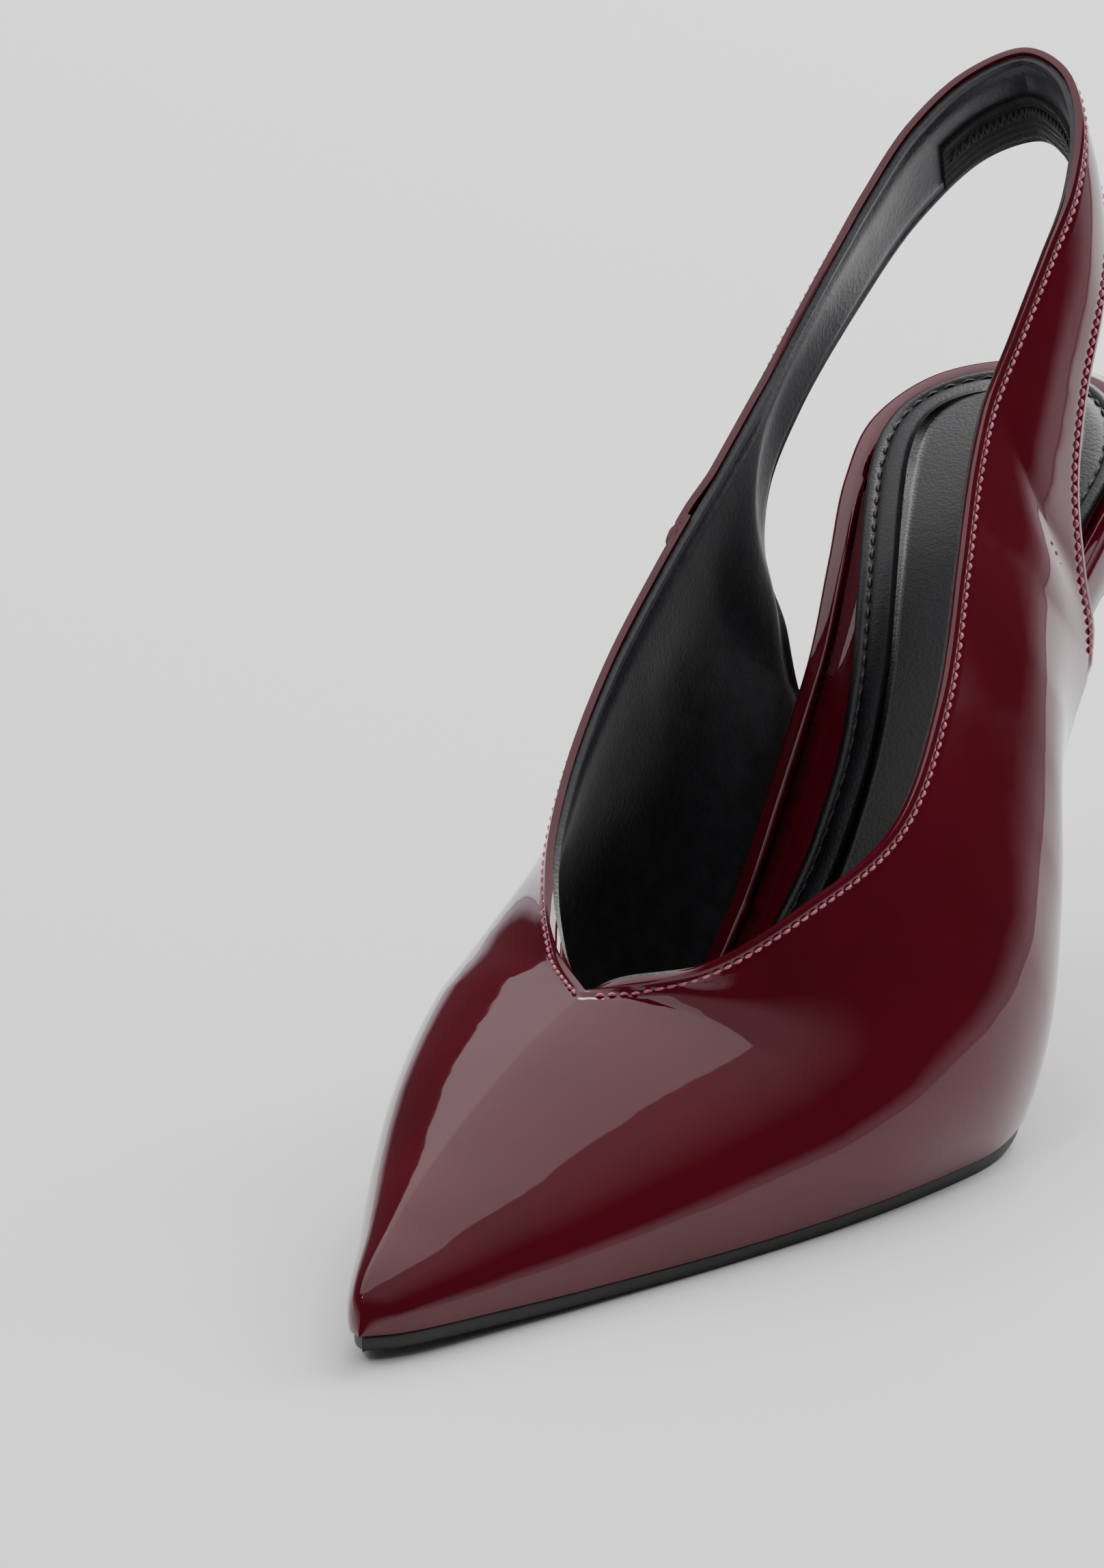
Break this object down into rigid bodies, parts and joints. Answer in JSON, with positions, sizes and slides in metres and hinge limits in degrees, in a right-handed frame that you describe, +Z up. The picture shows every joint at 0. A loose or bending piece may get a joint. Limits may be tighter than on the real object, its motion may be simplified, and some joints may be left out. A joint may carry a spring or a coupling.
{
  "type": "high heel pump",
  "caption": "Left slingback pump with a pointed toe, a V throat and a slim stiletto heel, in glossy patent leather with a padded black sock.",
  "frame": {"origin": "on the floor, under the centre of the shoe's bounding box", "axes": "+Z up, -Y towards the toe, +Y towards the heel, +X the wearer's left (outer side)"},
  "size_m": [0.0835, 0.2394, 0.1462],
  "materials": {
    "patent": "glossy patent, deep cherry",
    "heel_patent": "glossy patent, deep cherry",
    "lining_leather": "smooth black lining leather",
    "sock_leather": "satin black sock leather",
    "rose_thread": "twisted polyester thread, rose",
    "black_thread": "twisted polyester thread, black",
    "stiffener": "non-woven stiffener",
    "fibre_board": "pressed cellulose board",
    "foam": "latex foam",
    "elastic": "woven elastic",
    "sole_resin": "semi-matt black sole",
    "heel_plastic": "moulded heel plastic",
    "tip_rubber": "matt black top piece",
    "steel": "plain steel"
  },
  "bodies": {
    "root": {"vamp_outer": "patent", "medial_quarter_outer": "patent", "rim_wrap": "patent", "insole_cover": "patent", "heel_cover": "heel_patent", "vamp_lining": "lining_leather", "medial_quarter_lining": "lining_leather", "toe_puff": "stiffener", "lateral_quarter_interlining": "stiffener", "medial_quarter_interlining": "stiffener", "topline_thread": "rose_thread", "lateral_rear_thread": "rose_thread", "medial_rear_thread": "rose_thread", "sock_thread": "black_thread", "insole_board": "fibre_board", "insole_foam": "foam", "forefoot_filler": "foam", "sock": "sock_leather", "outsole": "sole_resin", "steel_shank": "steel", "shank_rivet_1": "steel", "shank_rivet_2": "steel", "seat_nail_1": "steel", "seat_nail_2": "steel", "seat_nail_3": "steel", "seat_nail_4": "steel", "seat_screw": "steel", "heel_core": "heel_plastic", "heel_dowel_tube": "steel", "top_piece": "tip_rubber", "top_piece_pin": "steel"},
    "strap": {"strap_outer": "patent", "strap_lining": "lining_leather", "strap_interlining": "stiffener", "strap_stay": "elastic", "strap_topline_thread": "rose_thread", "strap_lower_thread": "rose_thread"}
  },
  "joints": [
    {"name": "strap_swing", "type": "hinge", "parent": "root", "child": "strap", "pos_m": [0, 0.0645, 0.1058], "axis": [1, 0, 0], "range_deg": [-22, 8], "stiffness_Nm_per_rad": 0.2}
  ]
}
